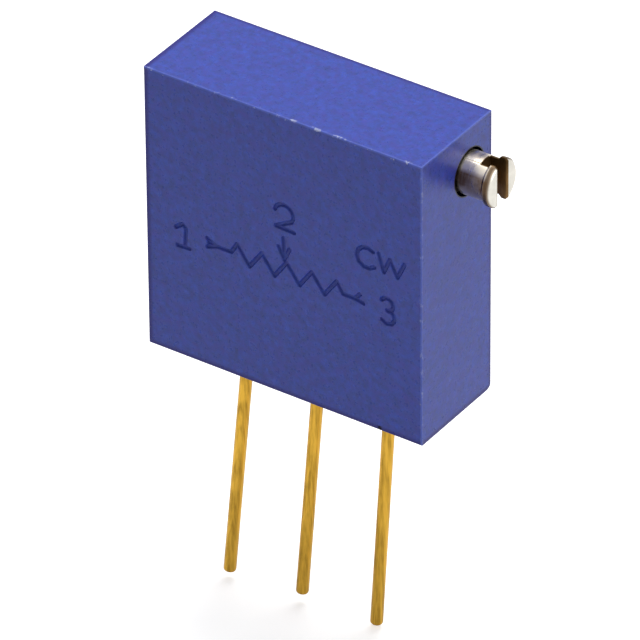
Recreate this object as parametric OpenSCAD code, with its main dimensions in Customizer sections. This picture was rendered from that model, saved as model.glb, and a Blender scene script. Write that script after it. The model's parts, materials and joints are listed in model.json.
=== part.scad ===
// Half-inch square multi-turn trimmer potentiometer, side adjusted, with three pins in line.
// Millimetres. The origin is the centre of the underside, X runs along the pin row towards
// the screw's head, Y towards the back and Z up. A worm on the adjustment screw turns a
// toothed rotor, whose wiper slides on a ceramic element.

/* [Housing] */
// Width of the housing along the pin row
body_w = 12.7; // [12.5:0.1:14]
// Depth of the housing from front to back
body_d = 4.83; // [4.8:0.01:5.4]
// Height of the housing above its underside
body_h = 12.7; // [12.6:0.1:14]
// Thickness of the side walls
side_wall = 0.9; // [0.6:0.05:1]
// Thickness of the top wall
top_wall = 0.9; // [0.6:0.05:1]
// Thickness of the back wall
back_wall = 0.9; // [0.8:0.05:1]
// Rounding of the top and side edges of the back face
back_edge_r = 0.1; // [0.05:0.05:0.5]
// Rounding of the back face's lower edge
back_foot_r = 0.35; // [0.1:0.05:0.5]
// Length of the bearing block inside the screw's wall
bearing_l = 2.4; // [2.2:0.1:2.6]
// Length of the blind bearing block at the screw's far end
end_bearing_l = 1.4; // [1:0.1:1.8]
// Height of both bearing blocks below the screw's axis
bearing_drop = 1.15; // [1.05:0.05:1.25]
// Width of the clear ring around the screw where it leaves the housing
mouth_ring = 0.12; // [0.08:0.01:0.2]
// Depth of that ring into the wall
mouth_depth = 0.5; // [0.3:0.05:0.7]

/* [Base seal] */
// Distance of the seal's face above the underside
seal_recess = 0.15; // [0.05:0.05:0.25]
// Thickness of the poured seal
seal_t = 0.85; // [0.7:0.05:1]

/* [Adjustment screw] */
// Distance from the back face to the screw's axis
screw_from_back = 1.575; // [1.5:0.005:1.65]
// Distance from the pins' row back to the screw's axis
screw_behind_pins = 0.84; // [0.8:0.005:0.9]
// Diameter of the plain shank
shank_d = 1.76; // [1.7:0.01:1.84]
// Length of the screw outside the housing
head_l = 1.5; // [1.2:0.05:2]
// Diameter of the lip around the slotted end
lip_d = 2.02; // [1.9:0.01:2.2]
// Length of the lip
lip_l = 0.42; // [0.3:0.02:0.6]
// Bevel at the end of the lip
lip_bevel = 0.1; // [0.04:0.02:0.16]
// Width of the screwdriver slot
slot_w = 0.62; // [0.4:0.02:0.8]
// Depth of the screwdriver slot
slot_depth = 0.75; // [0.5:0.05:1]
// Diameter of the journal at the screw's far end
journal_d = 1; // [0.8:0.05:1.2]
// Diameter over the worm thread
worm_d = 1.64; // [1.6:0.01:1.68]
// Length of the worm thread
worm_l = 4.6; // [4.2:0.1:5]
// Length of the plain collar at each end of the thread
collar_l = 0.4; // [0.3:0.05:0.5]
// Width of the groove for the seal ring
ring_groove_w = 0.4; // [0.36:0.02:0.5]
// Distance of the seal ring's groove inside the mouth ring
ring_groove_set = 0.25; // [0.2:0.05:0.35]
// Thickness of the seal ring's cord
ring_t = 0.3; // [0.26:0.01:0.32]

/* [Retaining clip] */
// Thickness of the clip
clip_t = 0.2; // [0.14:0.02:0.24]
// Diameter of the screw at the bottom of the clip's groove
clip_groove_d = 1; // [0.9:0.05:1.1]
// Width of each leg of the clip
clip_leg_w = 0.4; // [0.3:0.05:0.45]
// Distance of the clip from the free end of the bearing block
clip_set = 0.3; // [0.25:0.05:0.5]

/* [Rotor] */
// Number of teeth on the rotor
teeth = 36; // [32:1:40]
// Pitch radius of the rotor
rotor_r = 3.8; // [3.7:0.01:3.85]
// Thickness of the rotor's toothed disc
rotor_t = 1; // [0.8:0.05:1.1]
// Diameter of the hub that turns in the element
hub_d = 1.74; // [1.5:0.02:1.9]
// Diameter of the pip that keeps the rotor off the back wall
pip_d = 1.2; // [0.8:0.1:2]
// Diameter of each post that holds the wiper
post_d = 0.36; // [0.3:0.02:0.4]
// Distance of each post from the rotor's axis
post_r = 1.52; // [1.5:0.01:1.54]
// Play between the worm and the rotor's teeth
mesh_play = 0.09; // [0.07:0.01:0.12]

/* [Wiper] */
// Thickness of the wiper's spring sheet
wiper_t = 0.08; // [0.06:0.01:0.1]
// Radius of the wiper's plate
wiper_r = 2.1; // [2.05:0.01:2.2]
// Width of one spring finger
finger_w = 0.16; // [0.1:0.01:0.18]
// Spacing of the spring fingers
finger_step = 0.22; // [0.2:0.01:0.24]
// Radius of the contact bead under each finger
bead_r = 0.08; // [0.06:0.01:0.1]

/* [Element] */
// Gap between the ceramic substrate and each side wall
substrate_side_gap = 0.25; // [0.1:0.05:0.4]
// Gap between the ceramic substrate and the top wall
substrate_top_gap = 0.6; // [0.4:0.05:1]
// Thickness of the ceramic substrate
substrate_t = 0.8; // [0.6:0.05:0.9]
// Thickness of the printed films
film_t = 0.03; // [0.02:0.01:0.05]
// Mean radius of the resistive track
track_r = 2.95; // [2.9:0.01:3]
// Width of the resistive track
track_w = 0.7; // [0.6:0.05:0.8]
// Angle from the top to each end of the track
track_angle = 140; // [134:1:144]
// Mean radius of the collector ring
collector_r = 1.55; // [1.5:0.01:1.6]
// Width of the collector ring
collector_w = 0.6; // [0.5:0.05:0.7]
// Width of the pads under the pins
pad_w = 0.95; // [0.8:0.05:1.1]
// Height of the pads under the pins
pad_h = 1.5; // [1.3:0.05:1.6]

/* [Pins] */
// Distance of the pins' bend below the underside
bend_drop = 0.2; // [0.1:0.05:0.4]
// Diameter of the pins
pin_d = 0.51; // [0.45:0.01:0.55]
// Spacing of the pins
pin_pitch = 3.3; // [3.1:0.05:3.5]
// Length of pin 1 below its bend
pin_1_l = 10.15; // [4:0.05:12]
// Length of pin 2 below its bend
pin_2_l = 10; // [4:0.05:12]
// Length of pin 3 below its bend
pin_3_l = 10.3; // [4:0.05:12]
// Forward lean of pin 1
pin_1_lean = 8.8; // [0:0.1:10]
// Forward lean of pin 2
pin_2_lean = 7.7; // [0:0.1:10]
// Forward lean of pin 3
pin_3_lean = 5.8; // [0:0.1:10]
// Bevel at the tip of each pin
pin_bevel = 0.1; // [0.04:0.01:0.2]
// Length of each pin inside the housing that is soldered to its pad
pin_solder_l = 1.3; // [1:0.05:1.35]
// Height of the solder on each side of a pin
solder_rise = 0.2; // [0.1:0.01:0.25]
// Width of bare pad beside the solder
solder_set = 0.05; // [0:0.01:0.1]
// Thickness of the solder over the end of a pin
solder_cap = 0.1; // [0.05:0.01:0.2]

/* [Clearances] */
// Radial clearance of the turning parts
run_gap = 0.03; // [0.02:0.005:0.05]
// Clearance around the thread and at the ends of turning parts
free_gap = 0.08; // [0.06:0.01:0.1]
// Clearance of the parts that are laid in place
seat_gap = 0.015; // [0.01:0.005:0.03]
// Clearance between the bearing blocks and the printed films
block_gap = 0.12; // [0.08:0.01:0.2]

/* [Hidden] */
$fn = 48;
// A cut passes the face that it opens by this much
cut = 0.5;
// Segments in one rounded edge of the housing
edge_steps = 5;

// The screw lies behind the pins' row, which is at mid-depth in the real part
screw_y = body_d / 2 - screw_from_back;
pin_y = screw_y - screw_behind_pins;
pin_lengths = [pin_1_l, pin_2_l, pin_3_l];
pin_leans = [pin_1_lean, pin_2_lean, pin_3_lean];

// The layers from front to back, counted from the pins' row
film_y = pin_y - (pin_d / 2 + seat_gap);
substrate_back_y = film_y - film_t;
substrate_front_y = substrate_back_y - substrate_t;
cavity_front_y = substrate_front_y - seat_gap;
cavity_back_y = body_d / 2 - back_wall;
cavity_top_z = body_h - top_wall;
cavity_x = body_w / 2 - side_wall;
seal_top_z = seal_recess + seal_t;
pad_top_z = seal_top_z + pad_h;
block_front_y = film_y + block_gap;
substrate_w = 2 * (cavity_x - substrate_side_gap);
substrate_h = cavity_top_z - seal_top_z - substrate_top_gap;

// The gearing: a module gives the depth of the teeth and the axial pitch of the worm
gear_m = 2 * rotor_r / teeth;
worm_pitch = PI * gear_m;
flank_angle = 20;
tip_r = rotor_r + gear_m;
root_r = rotor_r - 1.25 * gear_m;
worm_pitch_r = worm_d / 2 - gear_m;
worm_root_r = worm_pitch_r - 1.2 * gear_m;
lead_angle = atan(worm_pitch / (2 * PI * worm_pitch_r));
half_tooth = worm_pitch / 4 - mesh_play / 2;
flank_run = gear_m * tan(flank_angle);
worm_points = 18;
worm_slices_per_turn = 12;

// The rotor is halfway up the housing, and the screw lies over it at the gearing's centre distance
rotor_z = body_h / 2;
screw_z = rotor_z + rotor_r + worm_pitch_r;
rotor_front_y = screw_y - rotor_t / 2;
rotor_back_y = screw_y + rotor_t / 2;

// Stations along the screw
head_x = body_w / 2 + head_l;
mouth_x = body_w / 2 - mouth_depth;
block_x = cavity_x - bearing_l;
clip_x = block_x + clip_set;
ring_x = mouth_x - ring_groove_set - ring_groove_w / 2;
end_block_x = -cavity_x + end_bearing_l;
screw_end_x = -cavity_x + free_gap;
bore_r = shank_d / 2 + run_gap;
mouth_r = shank_d / 2 + mouth_ring;
ring_outer_r = bore_r - run_gap / 2;
ring_groove_r = ring_outer_r - ring_t - run_gap / 2;

// The wiper's plate lies on the rotor's front face
plate_front_y = rotor_front_y - wiper_t;
bead_y = film_y + seat_gap + bead_r;
hub_front_y = substrate_front_y + free_gap;
hub_hole_r = hub_d / 2 + run_gap;
finger_run = 1.35;
tab_w = 0.5;
post_head_t = 0.06;
post_head_d = 0.54;

// The pins come straight out of the seal and bend a little below the underside
pin_top_z = seal_top_z + pin_solder_l;
solder_w = pad_w - 2 * solder_set;
solder_top_z = pin_top_z + solder_cap;

// Points of an arc from angle a0 to a1, in equal steps
function arc(cx, cy, r, a0, a1, steps) =
    [for (i = [0:steps]) let (a = a0 + (a1 - a0) * i / steps) [cx + r * cos(a), cy + r * sin(a)]];

// Radius of the worm's section at an angle from the middle of its crest
function worm_radius(a) =
    let (
        x = abs(a > 180 ? a - 360 : a) / 360 * worm_pitch,
        crest = half_tooth - flank_run,
        slope = 1 / tan(flank_angle)
    )
    max(worm_root_r, min(worm_d / 2, worm_d / 2 - (x - crest) * slope));

module along_x(x) {
    translate([x, screw_y, screw_z]) rotate([0, 90, 0]) children();
}

// A disc about the rotor's axis from y0 back to y1
module rotor_disc(r, y0, y1) {
    translate([0, y0, rotor_z]) rotate([-90, 0, 0]) cylinder(r = r, h = y1 - y0);
}

// A printed film on the back of the substrate, from an outline seen from the front
module film() {
    translate([0, film_y, 0]) rotate([90, 0, 0]) linear_extrude(film_t) children();
}

// A ring sector about the rotor's axis, between two angles from the top
module sector(r, w, a0, a1) {
    steps = ceil((a1 - a0) / 5);
    outer = [for (i = [0:steps]) let (a = a0 + (a1 - a0) * i / steps) (r + w / 2) * [sin(a), cos(a)]];
    inner = [for (i = [steps:-1:0]) let (a = a0 + (a1 - a0) * i / steps) (r - w / 2) * [sin(a), cos(a)]];
    translate([0, rotor_z]) polygon(concat(outer, inner));
}

// Sides of the housing seen from the right: the back edges are rounded, the front ones sharp
module side_outline() {
    back = body_d / 2;
    top_r = back_edge_r;
    foot_r = back_foot_r;
    polygon(concat(
        [[-back, 0]],
        arc(back - foot_r, foot_r, foot_r, -90, 0, edge_steps),
        arc(back - top_r, body_h - top_r, top_r, 0, 90, edge_steps),
        [[-back, body_h]]
    ));
}

// Housing seen from above
module plan_outline() {
    back = body_d / 2;
    side = body_w / 2;
    r = back_edge_r;
    polygon(concat(
        [[-side, -back], [side, -back]],
        arc(side - r, back - r, r, 0, 90, edge_steps),
        arc(-side + r, back - r, r, 90, 180, edge_steps)
    ));
}

module housing_outside() {
    intersection() {
        linear_extrude(body_h) plan_outline();
        translate([-body_w / 2, 0, 0]) rotate([90, 0, 90]) linear_extrude(body_w) side_outline();
    }
}

// A block of the housing that carries the screw, between two stations along it
module bearing_block(x0, x1) {
    translate([x0, block_front_y, screw_z - bearing_drop])
        cube([x1 - x0, body_d, body_h]);
}

// The slot in the bearing block that takes the clip from below
module clip_slot() {
    w = clip_width() + 2 * seat_gap;
    translate([clip_x - seat_gap, screw_y - w / 2, screw_z - bearing_drop - cut])
        cube([clip_t + 2 * seat_gap, w, bearing_drop + cut + clip_reach() + seat_gap]);
}

function clip_width() = clip_groove_d + 2 * run_gap + 2 * clip_leg_w;
function clip_reach() = clip_groove_d / 2 + run_gap + clip_leg_w;

module housing() {
    color("royalblue") difference() {
        housing_outside();
        difference() {
            translate([-cavity_x, cavity_front_y, -cut])
                cube([2 * cavity_x, cavity_back_y - cavity_front_y, cavity_top_z + cut]);
            bearing_block(block_x, body_w);
            bearing_block(-body_w, end_block_x);
        }
        along_x(end_block_x - cut / 2) cylinder(r = worm_d / 2 + free_gap, h = block_x - end_block_x + cut);
        along_x(block_x - cut) cylinder(r = bore_r, h = body_w);
        along_x(mouth_x) cylinder(r = mouth_r, h = body_w);
        along_x(screw_end_x - free_gap) cylinder(d = journal_d + 2 * run_gap, h = body_w / 2);
        clip_slot();
    }
}

module base_seal() {
    color("midnightblue") difference() {
        translate([-cavity_x, cavity_front_y, seal_recess])
            cube([2 * cavity_x, cavity_back_y - cavity_front_y, seal_t]);
        for (i = [0:2]) pin_shape(i);
    }
}

// The turned head: a plain shank, a lip around the slotted end and a bevel
module screw_head() {
    along_x(mouth_x - ring_groove_set) rotate_extrude() polygon([
        [0, 0],
        [shank_d / 2, 0],
        [shank_d / 2, head_x - lip_l - (mouth_x - ring_groove_set)],
        [lip_d / 2, head_x - lip_l + (lip_d - shank_d) / 2 - (mouth_x - ring_groove_set)],
        [lip_d / 2, head_x - lip_bevel - (mouth_x - ring_groove_set)],
        [lip_d / 2 - lip_bevel, head_x - (mouth_x - ring_groove_set)],
        [0, head_x - (mouth_x - ring_groove_set)]
    ]);
}

// A plain turned length of the screw from x0 to x1
module turned(r, x0, x1) {
    along_x(x0) cylinder(r = r, h = x1 - x0);
}

// The single-start thread: its section turns once for each pitch along the screw
module worm_thread(x0, length) {
    turns = length / worm_pitch;
    along_x(x0)
        linear_extrude(
            height = length, twist = -360 * turns,
            slices = ceil(turns * worm_slices_per_turn), $fn = worm_points
        )
            rotate(360 * x0 / worm_pitch - 180)
                polygon([
                    for (i = [0:worm_points - 1])
                        let (a = 360 * i / worm_points) worm_radius(a) * [cos(a), sin(a)]
                ]);
}

module adjustment_screw() {
    thread_x = -worm_l / 2;
    bury = collar_l / 4;
    color("silver") difference() {
        union() {
            screw_head();
            turned(ring_groove_r, clip_x + clip_t + seat_gap, mouth_x - ring_groove_set + bury);
            turned(shank_d / 2, clip_x + clip_t + seat_gap, ring_x - ring_groove_w / 2);
            turned(clip_groove_d / 2, block_x, clip_x + cut);
            turned(shank_d / 2, worm_l / 2, clip_x - seat_gap);
            turned(worm_d / 2, thread_x - collar_l, thread_x);
            turned(journal_d / 2, screw_end_x, thread_x - collar_l + bury);
            worm_thread(thread_x - bury, worm_l + 2 * bury);
        }
        translate([head_x - slot_depth, screw_y - slot_w / 2, screw_z - lip_d])
            cube([slot_depth + cut, slot_w, 2 * lip_d]);
    }
}

module screw_oring() {
    color("black") along_x(ring_x)
        rotate_extrude() translate([ring_outer_r - ring_t / 2, 0]) circle(d = ring_t, $fn = 24);
}

// A flat U: its legs pass each side of the screw's groove
module retaining_clip() {
    inner = clip_groove_d / 2 + run_gap;
    color("goldenrod") difference() {
        translate([clip_x, screw_y - clip_width() / 2, screw_z - bearing_drop])
            cube([clip_t, clip_width(), bearing_drop + clip_reach()]);
        along_x(clip_x - cut) cylinder(r = inner, h = clip_t + 2 * cut);
        translate([clip_x - cut, screw_y - inner, screw_z - bearing_drop - cut])
            cube([clip_t + 2 * cut, 2 * inner, bearing_drop + cut]);
    }
}

// One straight-sided tooth at the top of the rotor, set over to the worm's lead angle
module rotor_tooth() {
    foot = 0.15;
    rotate([0, 0, -lead_angle]) rotate([90, 0, 0])
        linear_extrude(2 * rotor_t, center = true) polygon([
            [-half_tooth - 1.25 * flank_run, root_r - foot],
            [half_tooth + 1.25 * flank_run, root_r - foot],
            [half_tooth + 1.25 * flank_run, root_r],
            [half_tooth - flank_run, tip_r + foot],
            [-half_tooth + flank_run, tip_r + foot],
            [-half_tooth - 1.25 * flank_run, root_r]
        ]);
}

// The posts that pass through the wiper's plate, each with a flattened head
module wiper_posts() {
    for (side = [-1, 1])
        translate([side * post_r, 0, 0]) {
            rotor_disc(post_d / 2, plate_front_y - 2 * seat_gap, rotor_front_y + cut);
            rotor_disc(post_head_d / 2, plate_front_y - seat_gap - post_head_t, plate_front_y - seat_gap);
        }
}

module rotor() {
    color("ivory") union() {
        intersection() {
            rotor_disc(tip_r, rotor_front_y, rotor_back_y);
            union() {
                rotor_disc(root_r, rotor_front_y - cut, rotor_back_y + cut);
                for (i = [0:teeth - 1])
                    translate([0, screw_y, rotor_z]) rotate([0, 360 * i / teeth, 0]) rotor_tooth();
            }
        }
        rotor_disc(hub_d / 2, hub_front_y, rotor_front_y + cut);
        rotor_disc(pip_d / 2, rotor_back_y - cut, cavity_back_y - run_gap);
        wiper_posts();
    }
}

// A spring finger that comes down from the plate to a bead on the film, running along +X
module finger(radius) {
    translate([0, 0, radius - finger_w / 2]) {
        linear_extrude(finger_w) polygon([
            [-finger_run - tab_w / 2, rotor_front_y],
            [-finger_run - tab_w / 2, plate_front_y],
            [-finger_run, plate_front_y],
            [-bead_r, bead_y],
            [bead_r, bead_y],
            [bead_r, bead_y + wiper_t],
            [-bead_r, bead_y + wiper_t],
            [-finger_run, rotor_front_y]
        ]);
        translate([0, bead_y, 0]) cylinder(r = bead_r, h = finger_w, $fn = 24);
    }
}

// The window under the collector's fingers, seen from the front
module wiper_window() {
    w = finger_step + finger_w + 2 * free_gap;
    translate([-2 * bead_r - free_gap, -collector_r - w / 2]) square([finger_run + 2 * bead_r + free_gap, w]);
}

module wiper_plate() {
    tab_top = track_r + finger_step + finger_w / 2;
    translate([0, rotor_front_y, rotor_z]) rotate([90, 0, 0]) linear_extrude(wiper_t) difference() {
        union() {
            circle(r = wiper_r);
            translate([-finger_run - tab_w, 0]) square([tab_w, tab_top]);
        }
        circle(r = hub_hole_r);
        for (side = [-1, 1]) translate([side * post_r, 0]) circle(r = post_d / 2 + seat_gap);
        wiper_window();
    }
}

module wiper_spring() {
    color("gold") union() {
        wiper_plate();
        translate([0, 0, rotor_z]) {
            for (k = [-1:1]) finger(track_r + k * finger_step);
            for (k = [-0.5, 0.5]) mirror([1, 0, 0]) finger(-collector_r + k * finger_step);
        }
    }
}

module element_substrate() {
    color("white") difference() {
        translate([-substrate_w / 2, substrate_front_y, seal_top_z])
            cube([substrate_w, substrate_t, substrate_h]);
        rotor_disc(hub_hole_r, substrate_front_y - cut, substrate_back_y + cut);
    }
}

module resistive_track() {
    color("darkslategray") film() sector(track_r, track_w, -track_angle, track_angle);
}

module collector_ring() {
    lead_w = collector_w;
    color("lightgray") film() {
        difference() {
            union() {
                translate([0, rotor_z]) circle(r = collector_r + collector_w / 2);
                translate([-lead_w / 2, pad_top_z - free_gap])
                    square([lead_w, rotor_z - collector_r - pad_top_z + free_gap]);
                translate([-pad_w / 2, seal_top_z + free_gap]) square([pad_w, pad_h - free_gap]);
            }
            translate([0, rotor_z]) circle(r = collector_r - collector_w / 2);
        }
    }
}

// The conductor of terminal 3: from the end of the track down to its pad
module end_conductor() {
    end_sweep = 10;
    trace_w = 0.6;
    end_a = track_angle + end_sweep;
    end_x = track_r * sin(end_a);
    end_z = rotor_z + track_r * cos(end_a);
    color("lightgray") film() {
        difference() {
            union() {
                sector(track_r, track_w, track_angle, end_a);
                polygon([
                    [end_x - trace_w / 2, end_z],
                    [end_x + trace_w / 2, end_z],
                    [pin_pitch + pad_w / 2, pad_top_z],
                    [pin_pitch + pad_w / 2, seal_top_z + free_gap],
                    [pin_pitch - pad_w / 2, seal_top_z + free_gap],
                    [pin_pitch - pad_w / 2, pad_top_z]
                ]);
            }
            sector(track_r, track_w, track_angle - 2 * end_sweep, track_angle);
        }
    }
}

module end_conductor_1() {
    mirror([1, 0, 0]) end_conductor();
}

module end_conductor_3() {
    end_conductor();
}

// A pin: upright inside the housing, then leaning forward from a mitred bend below the seal
module pin_shape(i) {
    r = pin_d / 2;
    lean = pin_leans[i];
    length = pin_lengths[i];
    translate([(i - 1) * pin_pitch, pin_y, -bend_drop]) {
        difference() {
            translate([0, 0, -cut]) cylinder(r = r, h = pin_top_z + bend_drop + cut);
            rotate([-lean / 2, 0, 0]) translate([-body_d, -body_d, -2 * body_d])
                cube(2 * body_d);
        }
        difference() {
            rotate([-lean, 0, 0]) {
                translate([0, 0, pin_bevel - length]) cylinder(r = r, h = length - pin_bevel + cut);
                translate([0, 0, -length]) cylinder(r1 = r - pin_bevel, r2 = r, h = pin_bevel);
            }
            rotate([-lean / 2, 0, 0]) translate([-body_d, -body_d, 0])
                cube(2 * body_d);
        }
    }
}

module pin_1() {
    color("gold") pin_shape(0);
}

module pin_2() {
    color("gold") pin_shape(1);
}

module pin_3() {
    color("gold") pin_shape(2);
}

// Solder between a pad and the sides of its pin, closed over the pin's end
module solder(i) {
    foot = seal_top_z + free_gap;
    slope_w = 0.15;
    color("darkgray") difference() {
        translate([(i - 1) * pin_pitch, 0, foot]) linear_extrude(solder_top_z - foot) polygon([
            [-solder_w / 2, film_y],
            [solder_w / 2, film_y],
            [solder_w / 2 - slope_w / 2, film_y + solder_rise / 2],
            [pin_d / 2 + seat_gap, film_y + solder_rise],
            [-pin_d / 2 - seat_gap, film_y + solder_rise],
            [-solder_w / 2 + slope_w / 2, film_y + solder_rise / 2]
        ]);
        pin_shape(i);
    }
}

module solder_1() {
    solder(0);
}

module solder_2() {
    solder(1);
}

module solder_3() {
    solder(2);
}

housing();
base_seal();
adjustment_screw();
screw_oring();
retaining_clip();
rotor();
wiper_spring();
element_substrate();
resistive_track();
collector_ring();
end_conductor_1();
end_conductor_3();
pin_1();
pin_2();
pin_3();
solder_1();
solder_2();
solder_3();
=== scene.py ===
import json
import math

import bmesh
import bpy
from mathutils import Matrix, Vector


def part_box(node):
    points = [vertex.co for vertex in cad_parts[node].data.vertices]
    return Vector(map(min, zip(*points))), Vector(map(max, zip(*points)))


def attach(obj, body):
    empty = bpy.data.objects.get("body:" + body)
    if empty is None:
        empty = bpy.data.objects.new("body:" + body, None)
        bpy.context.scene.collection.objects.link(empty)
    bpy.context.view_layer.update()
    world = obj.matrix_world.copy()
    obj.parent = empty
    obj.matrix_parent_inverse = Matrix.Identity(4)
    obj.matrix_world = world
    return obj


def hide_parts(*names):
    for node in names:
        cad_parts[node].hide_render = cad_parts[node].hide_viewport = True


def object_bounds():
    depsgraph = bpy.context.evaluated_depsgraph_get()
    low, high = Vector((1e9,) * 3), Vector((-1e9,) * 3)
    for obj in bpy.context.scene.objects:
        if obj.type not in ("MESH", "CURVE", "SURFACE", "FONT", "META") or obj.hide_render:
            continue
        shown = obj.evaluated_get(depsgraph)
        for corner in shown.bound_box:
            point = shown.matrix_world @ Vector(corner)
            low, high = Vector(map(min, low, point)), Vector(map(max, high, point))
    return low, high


bl_info = {
    "name": "Trimmer Potentiometer Looks",
    "version": (1, 0, 0),
    "blender": (4, 5, 0),
    "location": "3D View > Sidebar > Trimmer",
    "description": "Dresses a square multi-turn trimmer potentiometer and lights it on a plain floor",
    "category": "Object",
}

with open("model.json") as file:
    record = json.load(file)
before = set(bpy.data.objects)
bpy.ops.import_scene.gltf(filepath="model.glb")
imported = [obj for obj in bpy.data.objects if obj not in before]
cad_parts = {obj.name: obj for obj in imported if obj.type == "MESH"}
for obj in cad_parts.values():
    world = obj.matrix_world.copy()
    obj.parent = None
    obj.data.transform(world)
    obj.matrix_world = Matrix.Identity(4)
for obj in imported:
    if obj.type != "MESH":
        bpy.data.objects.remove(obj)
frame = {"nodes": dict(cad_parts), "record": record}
CAD_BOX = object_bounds()

# The shapes are worked in millimetres and brought to metres when they are finished
MM = 0.001
HOUSING_LOW, HOUSING_HIGH = (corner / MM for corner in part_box("housing"))
SCREW_LOW, SCREW_HIGH = (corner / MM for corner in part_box("adjustment_screw"))
FRONT_Y = HOUSING_LOW.y
SCREW_AXIS = Vector((0, (SCREW_LOW.y + SCREW_HIGH.y) / 2, (SCREW_LOW.z + SCREW_HIGH.z) / 2))
SCREW_END = SCREW_HIGH.x

# Half the width of the screw's slot, and how deep it goes into the head
SLOT_HALF, SLOT_DEPTH = 0.31, 0.75

# The hole in the housing that the screw comes out of, whose walls get painted shade
MOUTH_RADIUS, MOUTH_DEPTH = 1.0, 0.5

# The housing's six sides, as an axis and a place along it
LEFT, RIGHT = ("X", HOUSING_LOW.x), ("X", HOUSING_HIGH.x)
FRONT, BACK = ("Y", HOUSING_LOW.y), ("Y", HOUSING_HIGH.y)
FOOT, TOP = ("Z", HOUSING_LOW.z), ("Z", HOUSING_HIGH.z)

# The edges with painted shade, which look deeper blue, and those with a painted highlight line, and the
# widths of the painted shade, the highlight line and the rubbed specks along them
SHADED_OUTER_EDGES = ((LEFT, FRONT), (LEFT, TOP), (BACK, TOP), (BACK, RIGHT), (FRONT, FOOT), (RIGHT, FOOT))
HIGHLIGHT_EDGES = ((FRONT, TOP), (RIGHT, TOP), (FRONT, RIGHT))
EDGE_SHADE_WIDTH, HIGHLIGHT_WIDTH, RUBBED_WIDTH = 0.26, 0.09, 0.13

# How far along the front the dark nick just above its lower edge is
NICK_X = 4.42

# Edges that turn by more than this are shaded sharp
SHARP_ANGLE = math.radians(32)

# Where the photograph was taken from, and the directions of its frame's sides
CAMERA_PLACE = Vector((0.1682542, -0.2450866, 0.2049930))
CAMERA_RIGHT = Vector((0.827119, 0.561983, -0.006919))
CAMERA_DOWN = Vector((0.312133, -0.469561, -0.825884))
CAMERA_FORWARD = Vector((-0.467382, 0.680945, -0.563797))

# What the lamps point at, and how wide they are, in metres
LIT_PLACE, LAMP_SIZE = (0, 0, 0.006), 0.30


class HousingSettings(bpy.types.PropertyGroup):
    """The moulded housing and the marks cut into its front"""

    edge_round: bpy.props.FloatProperty(
        name="Edge Round", description="Rounding of the sharp front edges, in millimetres",
        default=0.045, min=0.01, max=0.2)
    corner_round: bpy.props.FloatProperty(
        name="Corner Round", description="Rounding of the lower left edge, in millimetres",
        default=0.16, min=0.02, max=0.3)
    nick: bpy.props.FloatProperty(
        name="Nick", description="Radius of the dark nick near the lower front edge, in millimetres",
        default=0.08, min=0.02, max=0.15)
    mark_width: bpy.props.FloatProperty(
        name="Mark Width", description="Width of a stroke of the marks, in millimetres",
        default=0.21, min=0.05, max=0.5)
    mark_depth: bpy.props.FloatProperty(
        name="Mark Depth", description="Depth of the marks, in millimetres",
        default=0.075, min=0.02, max=0.3)
    mark_taper: bpy.props.FloatProperty(
        name="Mark Taper", description="How far the walls of the marks slope in, in millimetres",
        default=0.06, min=0.0, max=0.1)
    plastic: bpy.props.FloatVectorProperty(
        name="Plastic", description="Colour of the moulded plastic",
        subtype="COLOR", size=3, min=0, max=1, default=(0.022, 0.058, 0.395))
    # Painted shade: the darker blue painted along the outer edges and silhouettes
    deep: bpy.props.FloatVectorProperty(
        name="Deep Edge", description="Colour of the plastic at its sharp outer edges",
        subtype="COLOR", size=3, min=0, max=1, default=(0.001, 0.0005, 0.200))
    # Painted highlight: the lighter line painted along the near edges
    painted_edge_highlight: bpy.props.FloatVectorProperty(
        name="Edge Line", description="Colour of the polished line along the near edges",
        subtype="COLOR", size=3, min=0, max=1, default=(0.110, 0.165, 0.640))
    wear: bpy.props.FloatVectorProperty(
        name="Wear", description="Colour of the rubbed specks on the edges",
        subtype="COLOR", size=3, min=0, max=1, default=(0.55, 0.60, 0.80))


class MetalSettings(bpy.types.PropertyGroup):
    """The screw and the pins"""

    slot_round: bpy.props.FloatProperty(
        name="Slot Round", description="Rounding of the slot's edges, in millimetres",
        default=0.09, min=0.01, max=0.2)
    pin_tip_round: bpy.props.FloatProperty(
        name="Tip Round", description="Rounding of each pin's tip, in millimetres",
        default=0.16, min=0.02, max=0.25)
    nickel: bpy.props.FloatVectorProperty(
        name="Nickel", description="Colour of the plating on the screw's end face",
        subtype="COLOR", size=3, min=0, max=1, default=(0.82, 0.79, 0.71))
    warm_nickel: bpy.props.FloatVectorProperty(
        name="Warm Nickel", description="Colour of the plating along the screw's shank",
        subtype="COLOR", size=3, min=0, max=1, default=(0.88, 0.80, 0.66))
    # Tarnish and painted reflection: the brown of the shank's patches, laid strongest on its front
    tarnish_and_reflection: bpy.props.FloatVectorProperty(
        name="Tarnish", description="Colour of the shank's darker patches",
        subtype="COLOR", size=3, min=0, max=1, default=(0.18, 0.10, 0.052))
    brass: bpy.props.FloatVectorProperty(
        name="Brass", description="Colour of the brass that shows on the rim of the screw's end",
        subtype="COLOR", size=3, min=0, max=1, default=(0.13, 0.075, 0.035))
    # Painted shade: the dark colour painted inside the screw's slot
    slot_shade: bpy.props.FloatVectorProperty(
        name="Slot Stain", description="Colour inside the screw's slot",
        subtype="COLOR", size=3, min=0, max=1, default=(0.080, 0.046, 0.018))
    gold: bpy.props.FloatVectorProperty(
        name="Gold", description="Colour of the gold plated pins",
        subtype="COLOR", size=3, min=0, max=1, default=(0.770, 0.445, 0.057))


class StageSettings(bpy.types.PropertyGroup):
    """The floor, the lights and the camera"""

    floor: bpy.props.FloatVectorProperty(
        name="Floor", description="Colour of the floor",
        subtype="COLOR", size=3, min=0, max=1, default=(0.86, 0.86, 0.86))
    lens: bpy.props.FloatProperty(
        name="Lens", description="Focal length of the camera",
        default=526.1, min=50, max=2000, unit="CAMERA")


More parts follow.
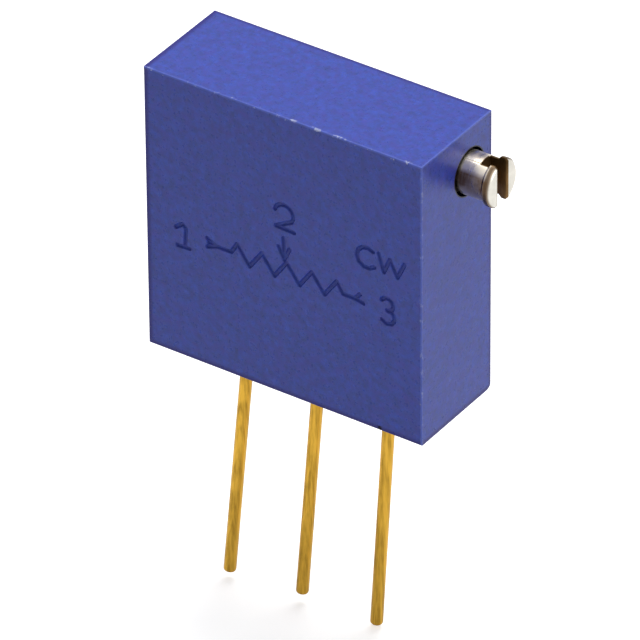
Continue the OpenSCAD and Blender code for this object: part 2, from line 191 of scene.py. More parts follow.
def plain_object(bm, name):
    """Makes the shape an object as it is."""
    mesh = bpy.data.meshes.new(name)
    bm.to_mesh(mesh)
    bm.free()
    made = bpy.data.objects.new(name, mesh)
    bpy.context.scene.collection.objects.link(made)
    return made


def to_metres(bm, name, flat=None, facet=None):
    """Makes the shape an object in metres, shaded smooth apart from its sharp edges.

    The edges around the faces that flat() picks are sharp too, so that their shade stays even.
    The faces that facet() picks are shaded one by one.
    """
    bm.normal_update()
    for face in bm.faces:
        face.smooth = not (facet and facet(face))
    for edge in bm.edges:
        sides = edge.link_faces
        sharp = len(sides) != 2 or sides[0].normal.angle(sides[1].normal, 0) > SHARP_ANGLE
        edge.smooth = not (sharp or (flat and flat(sides[0]) != flat(sides[1])))
    bmesh.ops.scale(bm, vec=(MM, MM, MM), verts=bm.verts)
    return plain_object(bm, name)


def from_node(name):
    """A merged copy of a CAD node's mesh, in millimetres."""
    same_place, same_plane = 0.0005, math.radians(1)
    bm = bmesh.new()
    bm.from_mesh(frame["nodes"][name].data)
    bmesh.ops.scale(bm, vec=(1 / MM, 1 / MM, 1 / MM), verts=bm.verts)
    bmesh.ops.remove_doubles(bm, verts=bm.verts, dist=same_place)
    bmesh.ops.dissolve_limit(
        bm, angle_limit=same_plane, use_dissolve_boundaries=False,
        verts=bm.verts, edges=bm.edges, delimit={"NORMAL"})
    return bm


def round_edges(bm, edges, offset, segments=3):
    """Rounds the edges, from the offset to each side of them."""
    bmesh.ops.bevel(
        bm, geom=edges, offset=offset, segments=segments,
        profile=0.5, affect="EDGES", material=-1, clamp_overlap=True)


def clear_material(name):
    """A new material with only its output."""
    material = bpy.data.materials.new(name)
    material.use_nodes = True
    material.node_tree.nodes.clear()
    material.node_tree.nodes.new("ShaderNodeOutputMaterial")
    return material


def add(material, kind, **sockets):
    """A node of that kind, with values for its inputs by name."""
    node = material.node_tree.nodes.new(kind)
    for key, value in sockets.items():
        node.inputs[key.replace("_", " ")].default_value = value
    return node


def link(material, source, target):
    """Joins a node's output to another's input."""
    material.node_tree.links.new(source, target)


def finish_shader(material, shader):
    """Gives the shader to the material's output."""
    out = next(n for n in material.node_tree.nodes if n.type == "OUTPUT_MATERIAL")
    link(material, shader.outputs[0], out.inputs["Surface"])


def millimetres(material, scale=(1, 1, 1)):
    """The object's own coordinates in millimetres, stretched by scale."""
    place = add(material, "ShaderNodeTexCoord")
    mapping = add(material, "ShaderNodeMapping", Scale=tuple(s / MM for s in scale))
    link(material, place.outputs["Object"], mapping.inputs["Vector"])
    return mapping.outputs["Vector"]


def parts(material):
    """The object's own x, y and z in millimetres."""
    split = add(material, "ShaderNodeSeparateXYZ")
    link(material, millimetres(material), split.inputs[0])
    return split.outputs


def noise(material, where, scale, detail=3, rough=0.55):
    """A cloudy pattern from nought to one."""
    node = add(material, "ShaderNodeTexNoise", Scale=scale, Detail=detail, Roughness=rough)
    link(material, where, node.inputs["Vector"])
    return node.outputs["Fac"]


def ramp(material, source, span, values=(0, 1)):
    """The source carried from the span to the values, and held at their ends outside it."""
    node = add(material, "ShaderNodeMapRange")
    for key, value in zip(("From Min", "From Max", "To Min", "To Max"), (*span, *values)):
        node.inputs[key].default_value = value
    link(material, source, node.inputs["Value"])
    return node.outputs["Result"]


def math_node(material, operation, first, second):
    """The result of the operation on two values, each a number or a node's output."""
    node = add(material, "ShaderNodeMath")
    node.operation = operation
    for socket, value in zip(node.inputs, (first, second)):
        if isinstance(value, (int, float)):
            socket.default_value = value
        else:
            link(material, value, socket)
    return node.outputs["Value"]


def product(material, first, *others):
    """The values multiplied together."""
    for other in others:
        first = math_node(material, "MULTIPLY", first, other)
    return first


def past(material, value, level):
    """How far the value is past the level."""
    return math_node(material, "SUBTRACT", value, level)


def away(material, value, level):
    """How far the value is from the level, to either side."""
    return math_node(material, "ABSOLUTE", past(material, value, level), 0)


def mix_colour(material, factor, first, second):
    """The first colour where the factor is nought and the second where it is one."""
    node = add(material, "ShaderNodeMix")
    node.data_type = "RGBA"
    link(material, factor, node.inputs["Factor"])
    for key, value in (("A", first), ("B", second)):
        socket = next(s for s in node.inputs if s.name == key and s.type == "RGBA")
        if isinstance(value, bpy.types.NodeSocket):
            link(material, value, socket)
        else:
            socket.default_value = (*value, 1)
    return next(s for s in node.outputs if s.type == "RGBA")


def tone(colour, factor):
    """The colour made darker or lighter."""
    return tuple(min(1.0, c * factor) for c in colour)


def bump(material, shader, height, distance, strength):
    """Fine relief of the shader's surface, with its distance in millimetres."""
    node = add(material, "ShaderNodeBump", Strength=strength, Distance=distance * MM)
    link(material, height, node.inputs["Height"])
    link(material, node.outputs["Normal"], shader.inputs["Normal"])


def band(material, place, side, width):
    """One at the side, an axis and a place along it, fading to nought at the width."""
    axis, level = side
    return ramp(material, away(material, place[axis], level), (width * 0.4, width), (1, 0))


def edge_bands(material, place, edges, width):
    """One along the edges, each a pair of sides, and nought away from them."""
    strongest = 0
    for one, other in edges:
        along = product(material, band(material, place, one, width), band(material, place, other, width))
        strongest = math_node(material, "MAXIMUM", strongest, along)
    return strongest


def plastic_edges(material, settings, base, where, place):
    """The base colour with painted shade on the outer edges, a painted highlight line along the near
    ones, rubbed specks and painted shade in the nick.
    """
    highlight_strength, side_wear = 0.6, 0.35
    # Painted shade along the outer edges
    deep = edge_bands(material, place, SHADED_OUTER_EDGES, EDGE_SHADE_WIDTH)
    base = mix_colour(material, deep, base, tuple(settings.deep))
    # Painted highlight: a lighter line along the near edges
    near = edge_bands(material, place, HIGHLIGHT_EDGES, HIGHLIGHT_WIDTH)
    base = mix_colour(material, product(material, near, highlight_strength), base, tuple(settings.painted_edge_highlight))
    upper = edge_bands(material, place, ((FRONT, TOP),), RUBBED_WIDTH)
    upright = edge_bands(material, place, ((FRONT, RIGHT),), RUBBED_WIDTH)
    rubbed = math_node(material, "MAXIMUM", upper, product(material, upright, side_wear))
    specks = noise(material, where, scale=3.6, detail=4, rough=0.7)
    chips = ramp(material, specks, (0.57, 0.64), (0, 0.8))
    base = mix_colour(material, product(material, rubbed, chips), base, tuple(settings.wear))
    # Painted shade: the inside of the nick is made nearly black
    nick = product(
        material, band(material, place, ("X", NICK_X), 1.8 * settings.nick),
        edge_bands(material, place, ((FRONT, FOOT),), 3 * settings.nick))
    return mix_colour(material, nick, base, tone(settings.deep, 0.2))


def in_marks(material, place):
    """One in the marks, which lie a little behind the front face and away from its edges."""
    start, full, end, fade, margin = 0.002, 0.035, 0.15, 0.01, 0.3
    behind = past(material, place["Y"], FRONT_Y)
    sunk = ramp(material, behind, (start, full))
    shallow = ramp(material, behind, (end - fade, end), (1, 0))
    inside = product(material, sunk, shallow)
    for (axis, low), (_, high) in ((LEFT, RIGHT), (FOOT, TOP)):
        aside = away(material, place[axis], (low + high) / 2)
        reach = (high - low) / 2 - margin
        inside = product(material, inside, ramp(material, aside, (reach - fade, reach), (1, 0)))
    return inside


def from_axis(material, place):
    """The distance from the screw's axis, squared."""
    across = past(material, place["Y"], SCREW_AXIS.y)
    up = past(material, place["Z"], SCREW_AXIS.z)
    return math_node(material, "ADD", product(material, across, across), product(material, up, up))


def in_mouth(material, place):
    """One in the ring around the screw where it leaves the housing, where painted shade goes."""
    clearance, fade = 0.04, 0.02
    rim = (MOUTH_RADIUS + clearance) ** 2
    ring = ramp(material, from_axis(material, place), (rim, rim + fade), (1, 0))
    out = past(material, place["X"], RIGHT[1])
    below = ramp(material, out, (fade / 2, fade), (1, 0))
    above = ramp(material, out, (-MOUTH_DEPTH - fade, -MOUTH_DEPTH))
    return product(material, ring, below, above)


def blue_plastic(settings):
    """Satin plastic with a fine grain and violet clouds, with painted shade in the marks and in the
    mouth.
    """
    material = clear_material("moulded_blue_plastic")
    shader = add(material, "ShaderNodeBsdfPrincipled", IOR=1.5)
    shader.inputs["Specular IOR Level"].default_value = 0.4
    where, place = millimetres(material), parts(material)
    plastic = tuple(settings.plastic)
    grain = ramp(material, noise(material, where, scale=3.4, detail=4, rough=0.8), (0.3, 0.7))
    base = mix_colour(material, grain, tone(plastic, 0.60), tone(plastic, 1.40))
    violet = (plastic[0] * 2.2, plastic[1] * 0.7, plastic[2] * 0.95)
    squashed = millimetres(material, (1, 1, 1.3))
    clouds = noise(material, squashed, scale=2.6, detail=4, rough=0.75)
    base = mix_colour(material, ramp(material, clouds, (0.42, 0.72), (0, 0.7)), base, violet)
    base = plastic_edges(material, settings, base, where, place)
    # Painted shade: the floors of the marks are darkened
    marks = product(material, in_marks(material, place), 0.3)
    base = mix_colour(material, marks, base, tone(plastic, 0.10))
    # Painted shade: the walls of the hole round the screw are made nearly black
    base = mix_colour(material, in_mouth(material, place), base, tone(plastic, 0.02))
    link(material, base, shader.inputs["Base Color"])
    gloss = ramp(material, noise(material, where, scale=5), (0.3, 0.7), (0.26, 0.33))
    link(material, math_node(material, "ADD", gloss, marks), shader.inputs["Roughness"])
    waves = noise(material, where, scale=1.2, detail=1, rough=0.5)
    bump(material, shader, waves, distance=0.006, strength=0.15)
    finish_shader(material, shader)
    return material


def shank_tarnish_and_reflection(material, place, streaks):
    """How brown the shank is: a patchy tarnish, with a painted dark reflection strongest on its front,
    weaker underneath, and a thin line of it on top.
    """
    stretched = millimetres(material, (1, 1.4, 1.4))
    patches = ramp(material, noise(material, stretched, scale=1.9, detail=4), (0.30, 0.60), (0.35, 1))
    pattern = ramp(material, product(material, streaks, patches), (0.2, 0.8), (0.62, 1))
    # Painted reflection: the brown is strongest on the shank's front, weaker underneath, with a thin
    # line on top
    up = past(material, place["Z"], SCREW_AXIS.z)
    front = ramp(material, up, (0.44, 0.60), (1, 0.02))
    underneath = ramp(material, up, (-0.55, 0), (0.15, 1))
    top_line = ramp(material, up, (0.83, 0.87), (0, 0.45))
    strength = math_node(material, "MAXIMUM", product(material, front, underneath), top_line)
    return product(material, pattern, strength)


def brass_rim(material, place, out):
    """Most on the rim of the screw's end, where brass shows through the plating."""
    lip = ramp(material, out, (-0.30, -0.22))
    return product(material, lip, ramp(material, from_axis(material, place), (0.86, 0.96), (0, 0.9)))


def in_slot(material, metal, place, out):
    """One on the walls and the floor of the screw's slot."""
    wall = SLOT_HALF + metal.slot_round
    across = away(material, place["Y"], SCREW_AXIS.y)
    between = ramp(material, across, (wall - 0.012, wall + 0.004), (1, 0))
    return product(material, between, ramp(material, out, (-SLOT_DEPTH - 0.04, -SLOT_DEPTH - 0.02)))


def slot_colour(material, metal, place):
    """The painted shade of the slot, which is lighter in clouds lower down."""
    up = past(material, place["Z"], SCREW_AXIS.z)
    lower = ramp(material, up, (0.1, 0.75), (1, 0))
    upright = millimetres(material, (3, 1, 0.8))
    cloud = ramp(material, noise(material, upright, scale=2), (0.4, 0.6), (0.7, 1))
    return mix_colour(
        material, product(material, lower, cloud), tuple(metal.slot_shade), tone(metal.slot_shade, 3.0))


def nickel_plating(metal):
    """Bright plating with a tarnished shank carrying a painted dark reflection, a pale end face, a brass
    rim and painted shade in the slot.
    """
    material = clear_material("nickel_plating")
    shader = add(material, "ShaderNodeBsdfPrincipled", Metallic=1.0)
    turned = millimetres(material, (3.2, 0.7, 0.7))
    place = parts(material)
    out = past(material, place["X"], SCREW_END)
    streaks = ramp(material, noise(material, turned, scale=2.2, detail=4), (0.35, 0.65), (0.55, 1))
    brown = shank_tarnish_and_reflection(material, place, streaks)
    base = mix_colour(material, brown, tuple(metal.warm_nickel), tuple(metal.tarnish_and_reflection))
    cloud = ramp(material, noise(material, millimetres(material), scale=2.5, detail=4), (0.3, 0.7))
    face = mix_colour(material, cloud, tone(metal.nickel, 0.88), tone(metal.nickel, 1.05))
    base = mix_colour(material, ramp(material, out, (-0.115, -0.095)), base, face)
    base = mix_colour(material, brass_rim(material, place, out), base, tuple(metal.brass))
    # Painted shade on the walls and floor of the slot
    slot = in_slot(material, metal, place, out)
    base = mix_colour(material, slot, base, slot_colour(material, metal, place))
    link(material, base, shader.inputs["Base Color"])
    gloss = ramp(material, streaks, (0.45, 1), (0.24, 0.40))
    gloss = math_node(material, "ADD", gloss, product(material, slot, 0.15))
    link(material, gloss, shader.inputs["Roughness"])
    bump(material, shader, noise(material, turned, scale=5, detail=2), distance=0.004, strength=0.2)
    finish_shader(material, shader)
    return material


def plated_metal(name, colour, shade, grain, roughness):
    """A plated metal with drawn or turned lines: grain stretches the pattern along each axis."""
    material = clear_material(name)
    shader = add(material, "ShaderNodeBsdfPrincipled", Metallic=1.0)
    lines = millimetres(material, grain)
    cloud = noise(material, millimetres(material), scale=2.2, detail=4)
    patches = ramp(material, cloud, (0.275, 0.725), (0.65, 1))
    streaks = ramp(material, noise(material, lines, scale=6), (0.38, 0.66))
    mixed = mix_colour(material, product(material, patches, streaks), colour, shade)
    link(material, mixed, shader.inputs["Base Color"])
    gloss = ramp(material, streaks, (0, 1), (roughness * 0.8, roughness * 1.25))
    link(material, gloss, shader.inputs["Roughness"])
    bump(material, shader, noise(material, lines, scale=16, detail=2), distance=0.003, strength=0.4)
    finish_shader(material, shader)
    return material


def plain_finish(name, colour, roughness, grain, variation=0.1, depth=0.003):
    """A moulded, fired or poured finish: one colour that varies a little, with a fine grain."""
    material = clear_material(name)
    shader = add(material, "ShaderNodeBsdfPrincipled")
    where = millimetres(material)
    cloud = ramp(material, noise(material, where, grain, detail=4), (0.3, 0.7))
    base = mix_colour(material, cloud, tone(colour, 1 - variation), tone(colour, 1 + variation))
    link(material, base, shader.inputs["Base Color"])
    gloss = ramp(material, cloud, (0, 1), (roughness * 0.85, roughness * 1.15))
    link(material, gloss, shader.inputs["Roughness"])
    bump(material, shader, noise(material, where, grain * 6, detail=2), depth, strength=0.4)
    finish_shader(material, shader)
    return material


def dress(piece, material):
    """The piece shows one material."""
    piece.data.materials.clear()
    piece.data.materials.append(material)


def arc(x, z, radius, start, end, steps=8):
    """Points of an arc on the front face, from one angle to the other, in degrees."""
    angles = [math.radians(start + (end - start) / steps * i) for i in range(steps + 1)]
    return [(x + radius * math.cos(angle), z + radius * math.sin(angle)) for angle in angles]


def resistor_line():
    """The resistor's zigzag between its two leads."""
    peak, valley, middle = 6.13, 5.32, 5.67
    first, step, count, lead = -2.13, 0.575, 9, 0.27
    teeth = [(first + step * i, valley if i % 2 else peak) for i in range(count)]
    last = first + step * (count - 1)
    return [(-3.05, middle), (first - lead, middle), *teeth, (last + lead, middle), (3.3, middle)]


def mark_strokes():
    """Every stroke of the marks, as points (x, z) on the front face, in millimetres."""
    return [
        # The resistor and the tips at its left and right ends
        resistor_line(),
        [(-3.52, 5.9), (-3.05, 5.67), (-3.52, 5.5)],
        [(-3.46, 5.72), (-3.2, 5.69)],
        [(3.52, 5.93), (3.3, 5.67), (3.68, 5.58)],
        # The arrow of the wiper
        [(0.02, 7.2), (0.06, 6.2)],
        [(-0.2, 6.75), (0.06, 6.25), (0.3, 6.78)],
        # The figures 1 and 2
        [(-4.98, 5.87), (-4.66, 6.12), (-4.5, 5.95), (-4.56, 5.1)],
        [(-4.92, 5.06), (-4.36, 5.08)],
        [*arc(0.06, 8.3, 0.43, 165, -35), (-0.32, 7.66), (0.52, 7.62)],
        # The letters C and W
        arc(3.85, 7.73, 0.46, 52, 318),
        [(4.39, 8.12), (4.62, 7.36), (4.9, 8.02), (5.24, 7.33), (5.56, 8.04)],
        # The figure 3
        [*arc(4.76, 5.93, 0.29, 150, -75, 6), (4.76, 5.66), *arc(4.78, 5.38, 0.33, 70, -140, 5)],
    ]


def stroke_cutter(bm, points, width, depth, taper):
    """Adds a sloping-walled bar for each length between the points and a peg at each point.

    The bars and pegs are centred on the front face, so half of each is in front of it.
    """
    outer, inner = width / 2 + taper, width / 2 - taper
    inward = Matrix.Rotation(math.radians(-90), 4, "X")
    for x, z in points:
        bmesh.ops.create_cone(
            bm, cap_ends=True, segments=16, radius1=outer, radius2=inner, depth=2 * depth,
            matrix=Matrix.Translation((x, FRONT_Y, z)) @ inward)
    for (x0, z0), (x1, z1) in zip(points, points[1:]):
        middle = Vector(((x0 + x1) / 2, FRONT_Y, (z0 + z1) / 2))
        way = Vector((x1 - x0, 0, z1 - z0))
        side = Vector((-way.z, 0, way.x)).normalized()
        for vert in bmesh.ops.create_cube(bm, size=1)["verts"]:
            along, deep, across = vert.co
            reach = 2 * (inner if deep > 0 else outer)
            vert.co = middle + way * along + side * reach * across + Vector((0, 2 * depth * deep, 0))


def combine(piece, other, operation):
    """Adds the other shape to the piece or cuts it out, and deletes the other shape."""
    step = piece.modifiers.new("combine", "BOOLEAN")
    step.operation = operation
    step.solver = "EXACT"
    step.use_self = True
    step.object = other
    bpy.context.view_layer.update()
    shape = bpy.data.meshes.new_from_object(piece.evaluated_get(bpy.context.evaluated_depsgraph_get()))
    piece.modifiers.clear()
    piece.data = shape
    bpy.data.objects.remove(other)


class TRIMMER_OT_housing(bpy.types.Operator):
    """Rounds the housing's edges and cuts the marks into its front"""

    bl_idname = "trimmer.housing"
    bl_label = "Housing"

    def execute(self, context):
        settings = context.scene.trimmer_housing
        bm = from_node("housing")
        round_edges(bm, [e for e in bm.edges if self.is_front_edge(e)], settings.edge_round)
        corner = [e for e in bm.edges if self.is_left_corner(e)]
        round_edges(bm, corner, settings.corner_round, segments=4)
        body = plain_object(bm, "marked_housing")
        combine(body, self.make_stamp(settings), "DIFFERENCE")
        bm = bmesh.new()
        bm.from_mesh(body.data)
        bpy.data.objects.remove(body)
        piece = to_metres(bm, "marked_housing", self.is_flat_side, self.is_in_mark)
        dress(piece, blue_plastic(settings))
        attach(piece, "case")
        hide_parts("housing")
        return {"FINISHED"}

    def make_stamp(self, settings):
        """A plate in front of the housing with the strokes and the nick standing out of it.

        The strokes are joined to it first, so that no wall is left where they cross.
        """
        plate_side, plate_thick = 12, 1
        width, depth = settings.mark_width, settings.mark_depth
        strokes = bmesh.new()
        for points in mark_strokes():
            stroke_cutter(strokes, points, width, depth, settings.mark_taper)
        bmesh.ops.create_icosphere(
            strokes, subdivisions=2, radius=settings.nick,
            matrix=Matrix.Translation((NICK_X, FRONT_Y, settings.nick + settings.edge_round)))
        bmesh.ops.recalc_face_normals(strokes, faces=strokes.faces)
        plate = bmesh.new()
        centre = Matrix.Translation((0, FRONT_Y - plate_thick / 2 - depth / 2, TOP[1] / 2))
        bmesh.ops.create_cube(
            plate, size=1, matrix=centre @ Matrix.Diagonal((plate_side, plate_thick, plate_side, 1)))
        stamp = plain_object(plate, "stamp")
        combine(stamp, plain_object(strokes, "strokes"), "UNION")
        return stamp

    def is_flat_side(self, face):
        """The faces that lie in one of the housing's six outer planes."""
        near = 0.002
        return any(
            all(abs(v.co[i] - side[i]) < near for v in face.verts)
            for i in range(3) for side in (HOUSING_LOW, HOUSING_HIGH))

    def is_in_mark(self, face):
        """The small faces of the grooves, a little behind the front."""
        nearest, farthest = 0.001, 0.2
        behind = face.calc_center_median().y - FRONT_Y
        return nearest < behind < farthest and not self.is_flat_side(face)

    def is_left_corner(self, edge):
        """The lower left edge, which runs from the front to the back."""
        near, least_length = 0.01, 1
        a, b = (v.co for v in edge.verts)
        at_corner = all(abs(p.x - LEFT[1]) < near and abs(p.z - FOOT[1]) < near for p in (a, b))
        return at_corner and abs(a.y - b.y) > least_length

    def is_front_edge(self, edge):
        """The four edges around the front face."""
        near = 0.01
        low, high = HOUSING_LOW, HOUSING_HIGH
        a, b = (v.co for v in edge.verts)
        on_front = all(abs(p.y - low.y) < near for p in (a, b))
        on_rim = any(
            all(abs(p[i] - side[i]) < near for p in (a, b))
            for i in (0, 2) for side in (low, high))
        return on_front and on_rim


class TRIMMER_OT_pins(bpy.types.Operator):
    """Draws the three gold pins, bent where they leave the seal and rounded at the tip"""

    bl_idname = "trimmer.pins"
    bl_label = "Pins"

    def execute(self, context):
        metal = context.scene.trimmer_metal
        drawn = (1.3, 1.3, 0.06)
        gold = plated_metal(
            "gold_plating", tuple(metal.gold), tone(metal.gold, 0.52), drawn, roughness=0.36)
        for number in (1, 2, 3):
            piece = self.draw_pin(number, metal.pin_tip_round)
            dress(piece, gold)
            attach(piece, "case")
            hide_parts(f"pin_{number}")
        return {"FINISHED"}

    def draw_pin(self, number, tip_round):
        """Carries the pin's round section down, through its bend and on to its tip."""
        mount = next(m for m in frame["record"]["mounts"] if m["name"] == f"pin_{number}_lead")
        radius = mount["dims"]["r_mm"]
        axis = Vector(mount["axis"])
        middle = Vector(mount["pos_m"]) / MM
        low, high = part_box(f"pin_{number}")
        top = high.z / MM
        # The leaning axis meets the upright one at the pins' own depth
        elbow = middle + axis * ((high.y / MM - radius - middle.y) / axis.y)
        half_bend = 0.3
        centre = Vector((elbow.x, elbow.y, elbow.z + half_bend))
        bm = bmesh.new()
        bmesh.ops.create_circle(
            bm, cap_ends=True, segments=32, radius=radius,
            matrix=Matrix.Translation((elbow.x, elbow.y, top)))
        ring = self.extrude(bm, list(bm.edges), Vector((0, 0, elbow.z + half_bend - top)))
        lean = Vector((0, 0, -1)).angle(axis)
        ring, centre = self.bend(bm, ring, centre, lean, 2 * half_bend)
        tip_steps = 5
        # The last step stops short of a right angle and leaves a small flat end
        angles = [math.pi / 2 * step / (tip_steps + 0.6) for step in range(tip_steps + 1)]
        sizes = [radius - tip_round * (1 - math.cos(angle)) for angle in angles]
        # The flat end leans too, so its lowest point is below its centre
        reach = (low.z / MM + sizes[-1] * math.sin(lean) - centre.z) / axis.z
        straight = axis * (reach - tip_round * math.sin(angles[-1]))
        ring = self.extrude(bm, ring, straight)
        centre = centre + straight
        for step in range(tip_steps):
            way = axis * tip_round * (math.sin(angles[step + 1]) - math.sin(angles[step]))
            ring = self.extrude(bm, ring, way)
            centre = centre + way
            factor = sizes[step + 1] / sizes[step]
            bmesh.ops.scale(
                bm, vec=(factor, factor, 1), space=Matrix.Translation(-centre), verts=self.corners(ring))
        bmesh.ops.contextual_create(bm, geom=ring)
        bmesh.ops.recalc_face_normals(bm, faces=bm.faces)
        return to_metres(bm, f"gold_pin_{number}")

    def bend(self, bm, ring, centre, lean, length):
        """Carries the ring and its centre forward through the bend, turned a little at each step."""
        steps = 4
        turn = Matrix.Rotation(-lean / steps, 4, "X")
        for step in range(steps):
            angle = lean * (step + 0.5) / steps
            way = Vector((0, -math.sin(angle), -math.cos(angle))) * (length / steps)
            ring = self.extrude(bm, ring, way)
            centre = centre + way
            bmesh.ops.rotate(bm, cent=centre, matrix=turn, verts=self.corners(ring))
        return ring, centre

    def extrude(self, bm, ring, way):
        """The ring of edges carried on by the way, with a wall drawn behind it."""
        made = bmesh.ops.extrude_edge_only(bm, edges=ring)["geom"]
        bmesh.ops.translate(bm, vec=way, verts=[g for g in made if isinstance(g, bmesh.types.BMVert)])
        return [g for g in made if isinstance(g, bmesh.types.BMEdge)]

    def corners(self, ring):
        """The corners of a ring of edges."""
        return list({v for e in ring for v in e.verts})


class TRIMMER_OT_screw(bpy.types.Operator):
    """Rounds the edges of the adjustment screw's slot and plates it"""

    bl_idname = "trimmer.screw"
    bl_label = "Screw"

    def execute(self, context):
        metal = context.scene.trimmer_metal
        bm = from_node("adjustment_screw")
        bm.normal_update()
        rim = [e for e in bm.edges if self.is_slot_rim(e)]
        if not rim:
            raise RuntimeError("the slot's edges weren't found")
        round_edges(bm, rim, metal.slot_round)
        piece = to_metres(bm, "plated_screw")
        dress(piece, nickel_plating(metal))
        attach(piece, "screw")
        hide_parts("adjustment_screw")
        return {"FINISHED"}

    def is_slot_rim(self, edge):
        """The outer edges of the slot's two walls."""
        near, least_angle = 0.01, math.radians(40)
        if len(edge.link_faces) != 2 or not edge.is_convex or edge.calc_face_angle() < least_angle:
            return False
        outside = all(v.co.x > SCREW_END - SLOT_DEPTH - near for v in edge.verts)
        at_wall = all(abs(abs(v.co.y - SCREW_AXIS.y) - SLOT_HALF) < near for v in edge.verts)
        return outside and at_wall


class TRIMMER_OT_inside(bpy.types.Operator):
    """Gives the seal and the pieces inside the housing their finishes"""

    bl_idname = "trimmer.inside"
    bl_label = "Seal and Inside"

    def execute(self, context):
        silver = plated_metal(
            "silver_ink", (0.66, 0.65, 0.62), (0.42, 0.40, 0.36), (3, 3, 3), roughness=0.42)
        solder = plated_metal(
            "tin_solder", (0.60, 0.60, 0.61), (0.38, 0.38, 0.40), (1, 1, 1), roughness=0.3)
        finishes = {
            "base_seal": plain_finish(
                "poured_resin", (0.030, 0.040, 0.120),
                roughness=0.22, grain=0.8, variation=0.15, depth=0.01),
            "screw_oring": plain_finish("seal_rubber", (0.014, 0.014, 0.015), roughness=0.6, grain=6),
            "retaining_clip": plated_metal(
                "bronze_sheet", (0.62, 0.42, 0.20), (0.40, 0.24, 0.12), (4, 4, 0.4), roughness=0.3),
            "rotor": plain_finish(
                "natural_nylon", (0.74, 0.71, 0.62), roughness=0.45, grain=1.5, variation=0.05),
            "wiper_spring": plated_metal(
                "gilt_spring", (0.75, 0.52, 0.20), (0.55, 0.34, 0.12), (0.5, 4, 4), roughness=0.22),
            "element_substrate": plain_finish(
                "white_alumina", (0.80, 0.79, 0.76), roughness=0.6, grain=9, variation=0.04),
            "resistive_track": plain_finish(
                "resistive_ink", (0.028, 0.030, 0.034), roughness=0.5, grain=12, variation=0.25),
            **dict.fromkeys(("collector_ring", "end_conductor_1", "end_conductor_3"), silver),
            **dict.fromkeys(("solder_1", "solder_2", "solder_3"), solder),
        }
        for name, material in finishes.items():
            dress(frame["nodes"][name], material)
        return {"FINISHED"}


def seen_rays(owner):
    """One for what the camera sees, straight or through metal and glass, and nought for other light."""
    rays = add(owner, "ShaderNodeLightPath").outputs
    seen = math_node(owner, "MAXIMUM", rays["Is Camera Ray"], rays["Is Glossy Ray"])
    return math_node(owner, "MAXIMUM", seen, rays["Is Transmission Ray"])


def choose_shader(owner, factor, first, second):
    """The first shader where the factor is nought and the second where it is one."""
    node = add(owner, "ShaderNodeMixShader")
    for source, socket in zip((factor, first.outputs[0], second.outputs[0]), node.inputs):
        link(owner, source, socket)
    return node


def floor_material(colour):
    """A plain pale floor, which also glows to the camera and in reflections and keeps the shadow."""
    material = clear_material("pale_floor")
    mirrored_glow, camera_glow = 0.20, 0.62
    matte = add(material, "ShaderNodeBsdfDiffuse", Color=(*colour, 1))
    glow = add(material, "ShaderNodeEmission")
    to_camera = add(material, "ShaderNodeLightPath").outputs["Is Camera Ray"]
    strength = ramp(material, to_camera, (0, 1), (mirrored_glow, camera_glow))
    link(material, strength, glow.inputs["Strength"])
    both = add(material, "ShaderNodeAddShader")
    link(material, matte.outputs[0], both.inputs[0])
    link(material, glow.outputs[0], both.inputs[1])
    finish_shader(material, choose_shader(material, seen_rays(material), matte, both))
    return material


def lamp(name, place, power):
    """A round soft lamp that points at the part."""
    light = bpy.data.lights.new(name, "AREA")
    light.shape = "DISK"
    light.size = LAMP_SIZE
    light.energy = power
    made = bpy.data.objects.new(name, light)
    made.location = place
    made.rotation_euler = (Vector(LIT_PLACE) - Vector(place)).to_track_quat("-Z", "Y").to_euler()
    bpy.context.scene.collection.objects.link(made)


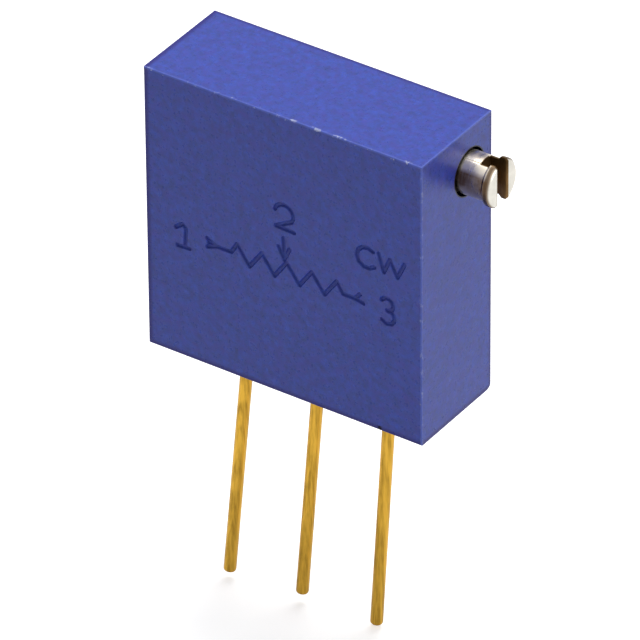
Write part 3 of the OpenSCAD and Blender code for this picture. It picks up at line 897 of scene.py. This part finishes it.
class TRIMMER_OT_stage(bpy.types.Operator):
    """Sets the floor, the lights and the camera"""

    bl_idname = "trimmer.stage"
    bl_label = "Stage"

    def execute(self, context):
        stage = context.scene.trimmer_stage
        self.set_camera(context, stage)
        self.set_floor(stage)
        self.set_world(context)
        lamp("top_lamp", (-0.02, 0.12, 0.41), power=1.60)
        lamp("front_lamp", (-0.10, -0.45, 0.16), power=0.07)
        lamp("side_lamp", (0.45, -0.05, 0.20), power=0.385)
        context.scene.view_settings.view_transform = "Standard"
        return {"FINISHED"}

    def set_camera(self, context, stage):
        """Puts the camera where the photograph was taken from."""
        data = bpy.data.cameras.new("camera")
        data.sensor_width = 36
        data.lens = stage.lens
        data.clip_start = 0.01
        data.clip_end = 20
        camera = bpy.data.objects.new("camera", data)
        turn = Matrix((CAMERA_RIGHT, -CAMERA_DOWN, -CAMERA_FORWARD)).transposed()
        camera.matrix_world = Matrix.Translation(CAMERA_PLACE) @ turn.to_4x4()
        context.scene.collection.objects.link(camera)
        context.scene.camera = camera

    def set_floor(self, stage):
        """Lays the floor just below the tips of the pins."""
        gap, half_side = 0.0001, 3
        bm = bmesh.new()
        bmesh.ops.create_grid(
            bm, x_segments=1, y_segments=1, size=half_side,
            matrix=Matrix.Translation((0, 0, CAD_BOX[0][2] - gap)))
        floor = plain_object(bm, "floor")
        dress(floor, floor_material(stage.floor))

    def set_world(self, context):
        """A soft grey light all round, which shows as white to the camera and in reflections."""
        world = bpy.data.worlds.new("studio")
        context.scene.world = world
        world.use_nodes = True
        world.node_tree.nodes.clear()
        soft = add(world, "ShaderNodeBackground", Color=(0.19, 0.19, 0.193, 1))
        white = add(world, "ShaderNodeBackground", Color=(1, 1, 1, 1))
        both = choose_shader(world, seen_rays(world), soft, white)
        link(world, both.outputs[0], add(world, "ShaderNodeOutputWorld").inputs["Surface"])


class TRIMMER_PT_panel(bpy.types.Panel):
    """The trimmer's pieces, in the order they are dressed"""

    bl_idname = "TRIMMER_PT_panel"
    bl_label = "Trimmer"
    bl_space_type = "VIEW_3D"
    bl_region_type = "UI"
    bl_category = "Trimmer"

    def draw(self, context):
        for step in STEPS:
            self.layout.operator(step.bl_idname)
        for group in ("trimmer_housing", "trimmer_metal", "trimmer_stage"):
            settings = getattr(context.scene, group)
            for name in settings.bl_rna.properties.keys():
                if name not in ("rna_type", "name"):
                    self.layout.prop(settings, name)


STEPS = (
    TRIMMER_OT_stage,
    TRIMMER_OT_housing,
    TRIMMER_OT_screw,
    TRIMMER_OT_pins,
    TRIMMER_OT_inside,
)
CLASSES = (HousingSettings, MetalSettings, StageSettings, *STEPS, TRIMMER_PT_panel)


def register():
    for made in CLASSES:
        bpy.utils.register_class(made)
    bpy.types.Scene.trimmer_housing = bpy.props.PointerProperty(type=HousingSettings)
    bpy.types.Scene.trimmer_metal = bpy.props.PointerProperty(type=MetalSettings)
    bpy.types.Scene.trimmer_stage = bpy.props.PointerProperty(type=StageSettings)


def unregister():
    del bpy.types.Scene.trimmer_stage
    del bpy.types.Scene.trimmer_metal
    del bpy.types.Scene.trimmer_housing
    for made in reversed(CLASSES):
        bpy.utils.unregister_class(made)


def main():
    register()
    bpy.ops.trimmer.stage()
    bpy.ops.trimmer.housing()
    bpy.ops.trimmer.screw()
    bpy.ops.trimmer.pins()
    bpy.ops.trimmer.inside()


if __name__ == "__main__":
    main()
